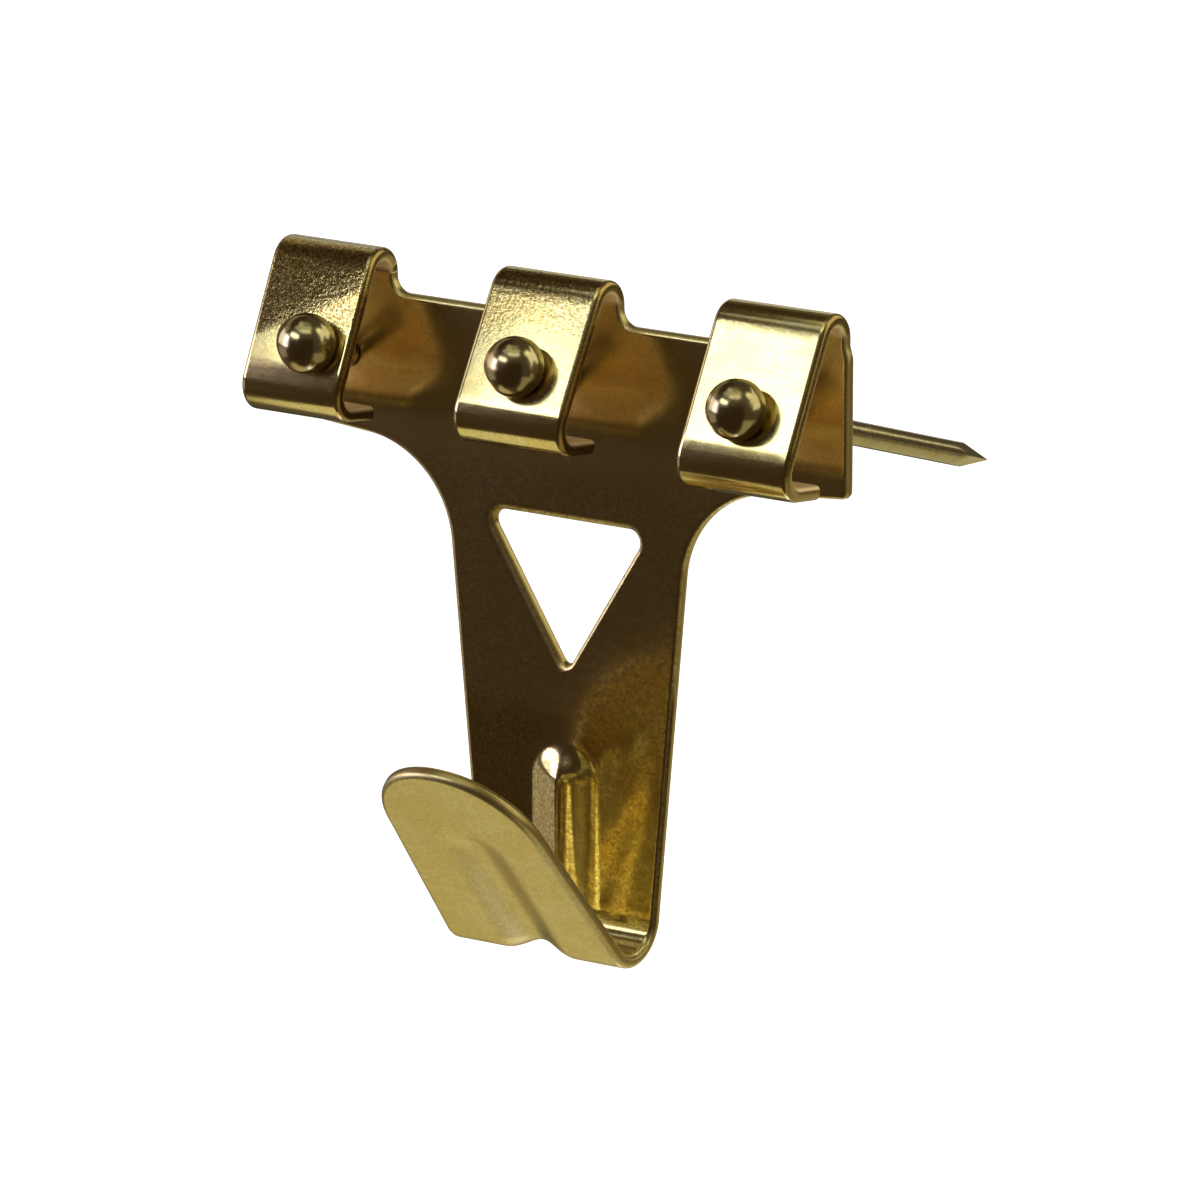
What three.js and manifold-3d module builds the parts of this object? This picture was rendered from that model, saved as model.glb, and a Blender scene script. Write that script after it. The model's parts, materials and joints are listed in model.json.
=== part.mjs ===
// A three-nail picture hanger: one sheet-steel plate, stamped and folded in one
// piece with three tabs and a J hook, and three domed nails that slide through it.
// Millimetres. +X is right as seen from the room, +Y goes into the wall, +Z is up.
// The origin lies on the plate's wall face, on its centreline, level with the
// lower corners of the arms.
import * as THREE from "three";
import { mergeVertices } from "three/addons/utils/BufferGeometryUtils.js";
import Module from "manifold-3d";

const wasm = await Module();
wasm.setup();

// The sheet that everything but the nails is folded from.
const sheetThickness = 1.1;

// The bar across the top, with an arm to each side.
const barHalfLength = 24;
const barHeight = 10.4;
const barCornerRadius = 0.5;
const shoulderRise = 0.9;
const shoulderStep = 0.25;

// The stem that hangs from the bar and narrows towards the hook.
const stemTopHalfWidth = 10.7;
const stemBottomHalfWidth = 7.75;
const stemUnderarmDrop = 1.2;
const stemUnderarmRadius = 8;

// The triangular window, point down.
const windowHalfWidth = 7;
const windowTopDrop = 4.9;
const windowHeight = 11.6;
const windowCornerRadius = 0.9;
const windowPointRadius = 0.55;

// The three folded tabs that guide the nails.
const tabWidth = 9.3;
const tabHeight = 14.05;
const tabTopRadius = 2.2;
const tabFaceLength = 9.3;
const tabBottomRadius = 2.2;
const tabLipLength = 3.3;
const tabLipDip = degrees(9);
const tabRootRadius = 1.2;

// The hook: a bend, then a flap that leans away from the wall to a rounded tip.
const hookDepth = 37.6;
const hookBendRadius = 3.35;
const hookFlapLean = degrees(40);
const hookFlapLength = 21.5;
const hookBendHalfWidth = 7.5;
const hookShoulderHalfWidth = 6.65;
const hookTipLength = 7.7;
const hookTipFullness = 2.1;

// The rib pressed along the middle of the hook, proud inside and hollow outside.
const ribHalfWidth = 3.2;
const ribDepth = 1;
const ribTopDrop = 21.7;
const ribFlapLength = 15;

// The nails.
const nailLength = 38.1;
const nailRadius = 0.92;
const nailHeadRadius = 2.25;
const nailHeadHeight = 2.85;
const nailHeadEdge = 0.15;
const nailHeadRelief = 0.3;
const nailPointLength = 6;
const nailEntryHeight = 5;
const nailHoleClearance = 0.3;
const nailSeatGap = 0.12;

// The three tabs as they were folded: how far each face leans out from the wall,
// its share of the face length, and the share of its width trimmed off its inner
// side. Each nail slopes down into the wall and stands a little turned in its holes.
const STATIONS = [
  {
    nail: "nail_left",
    side: -1,
    faceLean: degrees(27),
    faceShare: 0.97,
    trimShare: 0.07,
    nailSlope: degrees(18),
    nailTurn: degrees(7),
  },
  {
    nail: "nail_centre",
    side: 0,
    faceLean: degrees(32),
    faceShare: 0.98,
    trimShare: 0,
    nailSlope: degrees(22),
    nailTurn: degrees(1.5),
  },
  {
    nail: "nail_right",
    side: 1,
    faceLean: degrees(30),
    faceShare: 1.05,
    trimShare: 0,
    nailSlope: degrees(18),
    nailTurn: degrees(0),
  },
];

// One overrun serves every cut, and one lap every join.
const overrun = 2;
const lap = 1;

const BEND_STEPS = 8;
const HOOK_BEND_ROWS = 10;
const ROUND_STEPS = 24;
const DOME_STEPS = 7;
const SHEET_COLUMNS = 18;
const STEM_ROWS = 14;
const FLAP_ROWS = 14;
const TIP_ROWS = 7;
const POINT_SIDES = 4;

function degrees(angle) {
  return (angle * Math.PI) / 180;
}

// Bright brass plate, a little duller on the nails.
function brass(color, roughness) {
  return new THREE.MeshStandardMaterial({ color, roughness, metalness: 1 });
}

const platedSheet = brass(0xb9973f, 0.22);
const platedNail = brass(0xa98b4e, 0.18);

// Joining and cutting

function solidOf(geometry) {
  const bare = geometry.index ? geometry.toNonIndexed() : geometry.clone();
  bare.deleteAttribute("normal");
  bare.deleteAttribute("uv");
  const merged = mergeVertices(bare);
  return new wasm.Manifold(
    new wasm.Mesh({
      numProp: 3,
      vertProperties: merged.attributes.position.array,
      triVerts: new Uint32Array(merged.index.array),
    }),
  );
}

function geometryOf(solid) {
  const mesh = solid.getMesh();
  const position = new THREE.BufferAttribute(mesh.vertProperties, mesh.numProp);
  const geometry = new THREE.BufferGeometry().setAttribute("position", position);
  geometry.setIndex(new THREE.BufferAttribute(mesh.triVerts, 1));
  const faceted = geometry.toNonIndexed();
  faceted.computeVertexNormals();
  return faceted;
}

function piece(name, geometry, material) {
  const mesh = new THREE.Mesh(geometry, material);
  mesh.name = name;
  return mesh;
}

// Flat outlines

// A closed outline through corners { x, y, radius }, each corner rounded by its arc.
function roundedOutline(corners) {
  const outline = new THREE.Shape();
  corners.forEach((corner, i) => {
    const at = new THREE.Vector2(corner.x, corner.y);
    const before = corners.at(i - 1);
    const after = corners[(i + 1) % corners.length];
    const back = new THREE.Vector2(before.x, before.y).sub(at).normalize();
    const on = new THREE.Vector2(after.x, after.y).sub(at).normalize();
    const half = Math.acos(THREE.MathUtils.clamp(back.dot(on), -1, 1)) / 2;
    const radius = corner.radius ?? 0;
    const start = at.clone().addScaledVector(back, radius / Math.tan(half));
    if (i === 0) outline.moveTo(start.x, start.y);
    else outline.lineTo(start.x, start.y);
    if (radius === 0) return;
    const middle = back.clone().add(on).setLength(radius / Math.sin(half)).add(at);
    const end = at.clone().addScaledVector(on, radius / Math.tan(half));
    const angleTo = (p) => Math.atan2(p.y - middle.y, p.x - middle.x);
    const clockwise = back.cross(on) > 0;
    outline.absarc(middle.x, middle.y, radius, angleTo(start), angleTo(end), clockwise);
  });
  outline.closePath();
  return outline;
}

// Draws (x, y) as seen from the room and gives it thickness towards the room.
function frontPrism(shape, thickness) {
  const geometry = new THREE.ExtrudeGeometry(shape, {
    depth: thickness,
    bevelEnabled: false,
    curveSegments: BEND_STEPS,
  });
  const turned = new THREE.Matrix4().makeBasis(
    new THREE.Vector3(1, 0, 0),
    new THREE.Vector3(0, 0, 1),
    new THREE.Vector3(0, -1, 0),
  );
  return geometry.applyMatrix4(turned);
}

// Draws (distance from the wall, height) and gives it width from one side to the other.
function sidePrism(shape, { left, right }) {
  const geometry = new THREE.ExtrudeGeometry(shape, {
    depth: right - left,
    bevelEnabled: false,
    curveSegments: BEND_STEPS,
  });
  const turned = new THREE.Matrix4().makeBasis(
    new THREE.Vector3(0, -1, 0),
    new THREE.Vector3(0, 0, 1),
    new THREE.Vector3(-1, 0, 0),
  );
  geometry.applyMatrix4(turned);
  return geometry.translate(right, 0, 0);
}

// The flat blank: the bar, the necks of the tabs and the upper stem

const neckTop = tabHeight - tabTopRadius;
// The outer tabs keep just inside the ends of the bar.
const tabPitch = barHalfLength - shoulderStep - tabWidth / 2;
const windowPoint = windowTopDrop + windowHeight;
const blankBottom = (windowPoint + ribTopDrop) / 2;
const bendCentreDepth = hookDepth - hookBendRadius;

// The stem's half width at a depth below the origin.
function stemHalfWidth(depth) {
  const share = (depth - stemUnderarmDrop) / (bendCentreDepth - stemUnderarmDrop);
  return THREE.MathUtils.lerp(stemTopHalfWidth, stemBottomHalfWidth, share);
}

// The two sides of a tab. An outer tab is trimmed on its inner side, the middle one on both.
function tabSides({ side, trimShare }) {
  const centre = side * tabPitch;
  const whole = tabWidth / 2;
  const trimmed = whole - tabWidth * trimShare;
  return {
    left: centre - (side < 0 ? whole : trimmed),
    right: centre + (side > 0 ? whole : trimmed),
  };
}

// A tab's neck as the outline runs over it from right to left. Its sides meet the
// bar in a fillet, and at the bar's ends in a small sloping shoulder.
function neckCorners(station) {
  const { left, right } = tabSides(station);
  const root = (x, atEnd) =>
    atEnd
      ? { x, y: barHeight + shoulderRise }
      : { x, y: barHeight, radius: tabRootRadius };
  return [
    root(right, station.side > 0),
    { x: right, y: neckTop },
    { x: left, y: neckTop },
    root(left, station.side < 0),
  ];
}

function blankOutline() {
  const bottom = stemHalfWidth(blankBottom);
  const half = (side) => [
    { x: side * barHalfLength, y: 0, radius: barCornerRadius },
    { x: side * barHalfLength, y: barHeight },
  ];
  return roundedOutline([
    { x: -bottom, y: -blankBottom },
    { x: bottom, y: -blankBottom },
    { x: stemTopHalfWidth, y: -stemUnderarmDrop, radius: stemUnderarmRadius },
    ...half(1),
    ...STATIONS.toReversed().flatMap(neckCorners),
    ...half(-1).toReversed(),
    { x: -stemTopHalfWidth, y: -stemUnderarmDrop, radius: stemUnderarmRadius },
  ]);
}

function windowOutline() {
  return roundedOutline([
    { x: 0, y: -windowPoint, radius: windowPointRadius },
    { x: windowHalfWidth, y: -windowTopDrop, radius: windowCornerRadius },
    { x: -windowHalfWidth, y: -windowTopDrop, radius: windowCornerRadius },
  ]);
}

// The tabs

// A folded strip seen edge-on. It starts at a point of its outer face with a
// heading, and its runs are { length } or { radius, turn } to the right.
function foldedStrip(start, heading, runs) {
  const outer = [start.clone()];
  const inner = [];
  const at = start.clone();
  let angle = heading;
  const rightOf = (a) => new THREE.Vector2(Math.sin(a), -Math.cos(a));
  inner.push(at.clone().addScaledVector(rightOf(angle), sheetThickness));
  for (const { length, radius, turn } of runs) {
    const steps = radius ? BEND_STEPS : 1;
    const centre = at.clone().addScaledVector(rightOf(angle), radius ?? 0);
    for (let i = 1; i <= steps; i++) {
      if (radius) {
        angle -= turn / steps;
        at.copy(centre).addScaledVector(rightOf(angle), -radius);
      } else {
        at.add(new THREE.Vector2(Math.cos(angle), Math.sin(angle)).multiplyScalar(length));
      }
      outer.push(at.clone());
      inner.push(at.clone().addScaledVector(rightOf(angle), sheetThickness));
    }
  }
  return new THREE.Shape([...outer, ...inner.reverse()]);
}

function tabSolid(station) {
  const upwards = Math.PI / 2;
  const overTop = Math.PI - station.faceLean;
  const underneath = Math.PI / 2 + station.faceLean - tabLipDip;
  const root = new THREE.Vector2(0, barHeight - lap);
  const strip = foldedStrip(root, upwards, [
    { length: neckTop - root.y },
    { radius: tabTopRadius, turn: overTop },
    { length: tabFaceLength * station.faceShare },
    { radius: tabBottomRadius, turn: underneath },
    { length: tabLipLength },
  ]);
  return solidOf(sidePrism(strip, tabSides(station)));
}

// The lower stem and the hook

const bendTurn = Math.PI - hookFlapLean;
const bendLength = hookBendRadius * bendTurn;
const bendStart = bendCentreDepth - blankBottom;
const bendEnd = bendStart + bendLength;
const sheetEnd = bendEnd + hookFlapLength;
const tipStart = sheetEnd - hookTipLength;
const ribStart = ribTopDrop - blankBottom + ribHalfWidth;
const ribEnd = bendEnd + ribFlapLength - ribHalfWidth;

// The outer face's middle line at a run along the sheet from the blank's bottom,
// as the distance from the wall and the height, with the way into the hook.
function hookLine(run) {
  if (run <= bendStart)
    return {
      at: new THREE.Vector2(0, -blankBottom - run),
      into: new THREE.Vector2(1, 0),
    };
  const turn = Math.min((run - bendStart) / hookBendRadius, bendTurn);
  const into = new THREE.Vector2(Math.cos(turn), Math.sin(turn));
  const at = new THREE.Vector2(hookBendRadius, -bendCentreDepth);
  at.addScaledVector(into, -hookBendRadius);
  const onFlap = Math.max(run - bendEnd, 0);
  at.add(new THREE.Vector2(Math.sin(turn), -Math.cos(turn)).multiplyScalar(onFlap));
  return { at, into };
}

function hookHalfWidth(run) {
  if (run <= bendStart) return stemHalfWidth(blankBottom + run);
  if (run <= bendEnd)
    return THREE.MathUtils.mapLinear(
      run,
      bendStart,
      bendEnd,
      stemBottomHalfWidth,
      hookBendHalfWidth,
    );
  const alongFlap = Math.min((run - bendEnd) / (tipStart - bendEnd), 1);
  const side = THREE.MathUtils.lerp(hookBendHalfWidth, hookShoulderHalfWidth, alongFlap);
  const alongTip = Math.max((run - tipStart) / hookTipLength, 0);
  return side * (1 - alongTip ** hookTipFullness) ** (1 / hookTipFullness);
}

// How far the rib lifts the sheet into the hook, with round ends.
function ribLift(run, x) {
  const past = Math.max(ribStart - run, run - ribEnd, 0);
  const away = Math.min(Math.hypot(past, x) / ribHalfWidth, 1);
  const fading = THREE.MathUtils.clamp((run - bendEnd) / ribFlapLength, 0, 1);
  const depth = ribDepth * (1 - fading / 2);
  return (depth * (1 + Math.cos(Math.PI * away))) / 2;
}

// The runs at which the hook's sheet has a row, the tip's closing in on its end.
function hookRuns() {
  const spread = (from, to, steps) =>
    Array.from({ length: steps }, (_, i) => from + ((to - from) * i) / steps);
  const tip = Array.from({ length: TIP_ROWS }, (_, i) => {
    const angle = ((i / TIP_ROWS) * Math.PI) / 2;
    return tipStart + hookTipLength * Math.sin(angle);
  });
  return [
    ...spread(0, bendStart, STEM_ROWS),
    ...spread(bendStart, bendEnd, HOOK_BEND_ROWS),
    ...spread(bendEnd, tipStart, FLAP_ROWS),
    ...tip,
  ];
}

// One closed skin over both faces of a sheet whose rows are lists of face points.
function sheetGeometry(outerRows, innerRows) {
  const rows = outerRows.length;
  const columns = outerRows[0].length;
  const points = [...outerRows, ...innerRows].flat();
  const outer = (r, c) => r * columns + c;
  const inner = (r, c) => (rows + r) * columns + c;
  const index = [];
  const quad = (a, b, c, d) => index.push(a, b, c, a, c, d);
  for (let r = 0; r + 1 < rows; r++) {
    for (let c = 0; c + 1 < columns; c++) {
      quad(outer(r, c), outer(r, c + 1), outer(r + 1, c + 1), outer(r + 1, c));
      quad(inner(r, c), inner(r + 1, c), inner(r + 1, c + 1), inner(r, c + 1));
    }
    const last = columns - 1;
    quad(outer(r, 0), outer(r + 1, 0), inner(r + 1, 0), inner(r, 0));
    quad(outer(r, last), inner(r, last), inner(r + 1, last), outer(r + 1, last));
  }
  for (let c = 0; c + 1 < columns; c++) {
    const end = rows - 1;
    quad(outer(0, c), inner(0, c), inner(0, c + 1), outer(0, c + 1));
    quad(outer(end, c), outer(end, c + 1), inner(end, c + 1), inner(end, c));
  }
  const geometry = new THREE.BufferGeometry().setFromPoints(points);
  return geometry.setIndex(index);
}

function hookSolid() {
  const outerRows = [];
  const innerRows = [];
  const addRow = (at, into, halfWidth, lift) => {
    const row = (thickness) =>
      Array.from({ length: SHEET_COLUMNS + 1 }, (_, c) => {
        const x = halfWidth * ((2 * c) / SHEET_COLUMNS - 1);
        const out = at.clone().addScaledVector(into, thickness + lift(x));
        return new THREE.Vector3(x, -out.x, out.y);
      });
    outerRows.push(row(0));
    innerRows.push(row(sheetThickness));
  };
  // A tongue that laps inside the blank, so that the two join as one sheet.
  const tongue = new THREE.Vector2(0, -blankBottom + lap);
  const top = hookLine(0);
  addRow(tongue, top.into, stemHalfWidth(blankBottom) - lap, () => 0);
  for (const run of hookRuns()) {
    const { at, into } = hookLine(run);
    addRow(at, into, hookHalfWidth(run), (x) => ribLift(run, x));
  }
  return solidOf(sheetGeometry(outerRows, innerRows));
}

// The nails and their holes

// A nail's line: where it leaves the plate into the wall, which way its head
// points, how far along it crosses its tab's front face, and how steeply.
function nailLine({ side, faceLean, nailSlope, nailTurn }) {
  const out = new THREE.Vector3(
    Math.cos(nailSlope) * Math.sin(nailTurn),
    -Math.cos(nailSlope) * Math.cos(nailTurn),
    Math.sin(nailSlope),
  );
  const entry = new THREE.Vector3(side * tabPitch, 0, nailEntryHeight);
  const normal = new THREE.Vector3(0, -Math.cos(faceLean), Math.sin(faceLean));
  const bendMiddle = new THREE.Vector3(0, -tabTopRadius, neckTop);
  const onFace = bendMiddle.addScaledVector(normal, tabTopRadius);
  const square = normal.dot(out);
  const crossing = normal.dot(onFace.sub(entry)) / square;
  return { out, entry, crossing, steepness: Math.sqrt(1 - square * square) / square };
}

function turnTo(out) {
  const along = new THREE.Vector3(0, 1, 0);
  return new THREE.Quaternion().setFromUnitVectors(along, out);
}

function holeSolid(station) {
  const { out, entry, crossing } = nailLine(station);
  const reach = overrun + crossing + overrun;
  const radius = nailRadius + nailHoleClearance;
  const drill = new THREE.CylinderGeometry(radius, radius, reach, ROUND_STEPS);
  drill.translate(0, reach / 2 - overrun, 0);
  drill.applyQuaternion(turnTo(out));
  return solidOf(drill.translate(entry.x, entry.y, entry.z));
}

// A nail on its own axis, the underside of the head at 0 and the point below.
function nailSolid() {
  const domeMiddle = nailHeadHeight - nailHeadRadius;
  const profile = [
    new THREE.Vector2(0, -nailLength),
    new THREE.Vector2(nailRadius, -nailLength),
    new THREE.Vector2(nailRadius, 0),
    new THREE.Vector2(nailHeadRadius - nailHeadRelief, 0),
    new THREE.Vector2(nailHeadRadius - nailHeadEdge, nailHeadEdge),
  ];
  for (let i = 0; i < DOME_STEPS; i++) {
    const angle = ((i / DOME_STEPS) * Math.PI) / 2;
    const radius = nailHeadRadius * Math.cos(angle);
    profile.push(new THREE.Vector2(radius, domeMiddle + nailHeadRadius * Math.sin(angle)));
  }
  profile.push(new THREE.Vector2(0, nailHeadHeight));
  const turned = solidOf(new THREE.LatheGeometry(profile, ROUND_STEPS));
  // The point is what a long square pyramid leaves of the round shank.
  const reach = nailLength + nailHeadHeight + overrun;
  const flat = (nailRadius * reach) / nailPointLength;
  const corner = flat / Math.cos(Math.PI / POINT_SIDES);
  const pyramid = new THREE.ConeGeometry(corner, reach, POINT_SIDES);
  pyramid.rotateX(Math.PI).rotateY(Math.PI / POINT_SIDES);
  pyramid.translate(0, reach / 2 - nailLength, 0);
  return turned.intersect(solidOf(pyramid));
}

function nailMesh(station) {
  const { out, entry, crossing, steepness } = nailLine(station);
  const mesh = piece(station.nail, geometryOf(nailSolid()), platedNail);
  // The head is askew to the face, so it seats on one edge of its rim.
  const seat = crossing + nailHeadRadius * steepness + nailSeatGap;
  mesh.quaternion.copy(turnTo(out));
  mesh.position.copy(entry).addScaledVector(out, seat);
  return mesh;
}

function plateMesh() {
  let plate = solidOf(frontPrism(blankOutline(), sheetThickness));
  plate = plate.add(hookSolid());
  for (const station of STATIONS) plate = plate.add(tabSolid(station));
  const windowCut = frontPrism(windowOutline(), overrun + sheetThickness + overrun);
  plate = plate.subtract(solidOf(windowCut.translate(0, overrun, 0)));
  for (const station of STATIONS) plate = plate.subtract(holeSolid(station));
  return piece("hanger_plate", geometryOf(plate), platedSheet);
}

const hanger = new THREE.Group();
hanger.add(plateMesh());
hanger.add(...STATIONS.map(nailMesh));

export default hanger;
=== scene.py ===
"""A picture hanger: a folded brass-plated plate and three domed nails that slide through its tabs.

Metres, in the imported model's frame: +X is right as seen from the room, +Y goes into the wall, +Z is up.
The plate is drawn flat, as the blank that it is stamped from, and then folded. A point of the blank is
(x, s, h): x across, s up along the sheet's wall side, and h through the sheet from that side.
"""

import json
import math

import bpy
import numpy as np
from bpy.props import FloatProperty, FloatVectorProperty, PointerProperty
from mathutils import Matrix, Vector
from mathutils.geometry import delaunay_2d_cdt


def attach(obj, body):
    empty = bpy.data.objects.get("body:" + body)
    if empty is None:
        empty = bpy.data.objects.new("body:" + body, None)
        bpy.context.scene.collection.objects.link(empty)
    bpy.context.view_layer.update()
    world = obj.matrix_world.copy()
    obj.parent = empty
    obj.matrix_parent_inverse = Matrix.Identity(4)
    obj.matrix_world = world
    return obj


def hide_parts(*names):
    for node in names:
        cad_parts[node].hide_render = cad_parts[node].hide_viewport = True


bl_info = {
    "name": "Picture Hanger",
    "version": (1, 0, 0),
    "blender": (4, 5, 0),
    "location": "3D View > Sidebar > Hanger",
    "description": "Builds a folded brass picture hanger, its nails and a small photo stage",
    "category": "Add Mesh",
}

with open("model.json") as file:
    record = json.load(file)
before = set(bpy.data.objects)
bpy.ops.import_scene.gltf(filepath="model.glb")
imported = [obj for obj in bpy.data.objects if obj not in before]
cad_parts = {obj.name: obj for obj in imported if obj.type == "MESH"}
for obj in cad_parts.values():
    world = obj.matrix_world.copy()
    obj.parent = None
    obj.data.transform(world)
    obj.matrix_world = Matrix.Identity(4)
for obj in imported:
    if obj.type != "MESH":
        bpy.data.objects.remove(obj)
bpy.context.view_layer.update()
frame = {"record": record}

MM = 0.001

# The three tabs as they were folded, with their nails: side, lean of the face, share of the face's
# length, share of the width trimmed off the inner side, and the nail's slope and turn in degrees.
STATIONS = {
    "nail_left": (-1, 27, 0.97, 0.07, 18, 7),
    "nail_centre": (0, 32, 0.98, 0, 22, 1.5),
    "nail_right": (1, 30, 1.05, 0, 18, 0),
}

# How finely the plate is meshed: counts, then spacings and clearances.
BEND_ROWS = 16
HOOK_BEND_ROWS = 28
ROLL_STEPS = 5
HOLE_SIDES = 32
TIP_POINTS = 26
LEAST_ARC_STEPS = 6
RIB_COLUMNS = 27
ARC_SPACING = 0.3 * MM
RIB_SPACING = 0.36 * MM
RIB_FLAP_SPACING = 0.42 * MM
WINDOW_SPACING = 0.5 * MM
OUTLINE_SPACING = 0.6 * MM
FLAT_SPACING = 0.8 * MM
WIDE_SPACING = 1.1 * MM
RIM_CLEARANCE = 0.16 * MM
FLAT_SUPPORT = 0.03 * MM
HOLE_BEVEL = 0.08 * MM
SAME_POINT = 1e-7 * MM
ROW_MARGIN = 0.5 * MM
RIB_LEAD = 1.2 * MM
BAR_LEAD = 1.7 * MM
BESIDE_RIB = (4.4 * MM, 12 * MM)
SHEET_CREASE = math.radians(40)
NAIL_CREASE = math.radians(32)


# Settings


def setting(name, description, default, kind=FloatProperty, **more):
    return kind(name=name, description=description, default=default, **more)


def length(name, description, mm):
    return setting(name, description, mm * MM, min=0, unit="LENGTH", precision=5)


def angle(name, description, degrees):
    return setting(name, description, math.radians(degrees), subtype="ANGLE")


def share(name, description, value):
    return setting(name, description, value, min=0, max=1, subtype="FACTOR")


def colour(name, description, value):
    kind = FloatVectorProperty
    return setting(name, description, value, kind, size=3, min=0, max=1, subtype="COLOR")


class HangerPlateSizes(bpy.types.PropertyGroup):
    """Sizes of the folded plate"""

    sheet: length("Sheet", "Thickness of the sheet", 1.1)
    edge_roll: length("Edge Roll", "Radius that stamping and plating leave on every edge", 0.4)
    bar_half: length("Bar Half Length", "From the centreline to the end of an arm", 24)
    bar_height: length("Bar Height", "Height of the bar across the top", 10.4)
    stem_top: length("Stem Top", "Half width of the stem under the arms", 10.7)
    stem_bottom: length("Stem Bottom", "Half width of the stem at the hook", 7.75)
    underarm: length("Underarm", "Radius between an arm and the stem", 8)
    window_half: length("Window Half Width", "Half width of the window along its top", 7)
    window_drop: length("Window Drop", "From the arms' lower corners down to the window", 4.9)
    window_height: length("Window Height", "From the window's top to its point", 11.6)
    tab_pitch: length("Tab Pitch", "Distance between neighbouring tabs", 19.1)
    tab_width: length("Tab Width", "Width of a tab", 9.3)
    tab_height: length("Tab Height", "Top of the tabs above the arms' lower corners", 14.05)
    tab_bend: length("Tab Bend", "Outer radius of the bends at the top and bottom of a tab", 2.2)
    tab_face: length("Tab Face", "Length of a tab's flat face", 9.3)
    hook_depth: length("Hook Depth", "From the arms' lower corners down to the hook", 37.6)
    hook_bend: length("Hook Bend", "Outer radius of the hook's bend", 3.35)
    hook_lean: angle("Hook Lean", "Lean of the hook's flap away from the wall", 40)
    hook_flap: length("Hook Flap", "Length of the flap to its tip", 21.5)
    rib_half: length("Rib Half Width", "Half width of the rib pressed into the hook", 3.2)
    rib_depth: length("Rib Depth", "How far the rib is pressed in", 1)


class HangerNailSizes(bpy.types.PropertyGroup):
    """Sizes of a nail"""

    length: length("Length", "From the underside of the head to the tip", 38.1)
    radius: length("Radius", "Radius of the round shank", 0.92)
    head_radius: length("Head Radius", "Radius of the domed head", 2.25)
    head_height: length("Head Height", "Height of the domed head", 2.85)
    head_relief: length("Head Relief", "How far the head's underside is drawn in", 0.3)
    point: length("Point", "Length of the four-sided point", 6)
    entry: length("Entry", "Height at which the shank leaves the plate into the wall", 5)
    clearance: length("Clearance", "Gap between the shank and the side of its hole", 0.05)
    seat_gap: length("Seat Gap", "Gap between the head's rim and the tab", 0.12)


class HangerFinish(bpy.types.PropertyGroup):
    """Colours and surface of the brass plating"""

    brass: colour("Brass", "Bright plated brass", (0.9, 0.8, 0.44))
    warm: colour("Warm Brass", "Brass where the plating is a little heavier", (0.86, 0.72, 0.34))
    # Dull brown-olive for the specks and patches in the plating; on the tabs it also paints shade, on
    # every edge and in mottled patches on the faces by the fold.
    tarnish: colour("Tarnish", "Specks and dull places in the plating", (0.42, 0.29, 0.1))
    copper: colour("Copper", "Thin plating inside the tabs", (0.98, 0.76, 0.42))
    nail_brass: colour("Nail Brass", "Plating of the nails", (0.54, 0.46, 0.27))
    polish: share("Polish", "Roughness of the bright sheet", 0.14)
    satin: share("Satin", "Roughness of the outside of the hook", 0.4)
    nail_polish: share("Nail Polish", "Roughness of the nails", 0.19)


class HangerStage(bpy.types.PropertyGroup):
    """The floor, the cards that the metal mirrors, the lamps and the camera"""

    floor_drop: length("Floor Drop", "Height of the arms' lower corners above the floor", 450)
    camera_distance: length("Camera Distance", "From the camera to the hanger", 650)
    camera_azimuth: angle("Camera Azimuth", "How far the camera stands to the right", 32.09)
    camera_elevation: angle("Camera Elevation", "How far the camera stands above", 14.74)
    focal_length: setting("Focal Length", "Focal length for a 36 mm wide sensor", 264.9)
    floor: colour("Floor", "The pale floor", (0.86, 0.86, 0.85))
    dark: colour("Dark Card", "The unlit side of the studio", (0.042, 0.026, 0.012))


# The blank and how it is folded


def outward(azimuth, elevation):
    """A direction from the hanger, in degrees to the right of straight out and above level."""
    a, e = math.radians(azimuth), math.radians(elevation)
    return Vector((math.sin(a) * math.cos(e), -math.cos(a) * math.cos(e), math.sin(e)))


class Path:
    """The wall side of a strip seen edge-on, as (distance from the wall, height).

    It starts at the origin with a heading, and its runs are (length, radius): a radius curls it
    towards its inner side, which lies to the right of the heading for side 1, to the left for -1.
    """

    def __init__(self, heading, side, runs):
        self.side = side
        self.runs = []
        at, distance = np.zeros(2), 0.0
        for run, radius in runs:
            self.runs.append((distance, at, heading, radius))
            at = self.point(len(self.runs) - 1, run)[0]
            heading -= side * run / radius if radius else 0
            distance += run
        self.end = distance

    def into(self, heading):
        return self.side * np.stack([np.sin(heading), -np.cos(heading)], -1)

    def point(self, index, along):
        """Points of one run at distances along it, and the way into the sheet there."""
        start, at, heading, radius = self.runs[index]
        along = np.asarray(along, float)
        if not radius:
            ahead = np.array([math.cos(heading), math.sin(heading)])
            into = np.broadcast_to(self.into(heading), along.shape + (2,))
            return at + along[..., None] * ahead, into
        into = self.into(heading - self.side * along / radius)
        return at + radius * (self.into(heading) - into), into

    def at(self, distance):
        starts = [run[0] for run in self.runs]
        index = np.clip(np.searchsorted(starts, distance, side="right") - 1, 0, None)
        place = np.zeros(distance.shape + (2,))
        into = np.zeros(distance.shape + (2,))
        for i, start in enumerate(starts):
            here = index == i
            place[here], into[here] = self.point(i, distance[here] - start)
        return place, into


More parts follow.
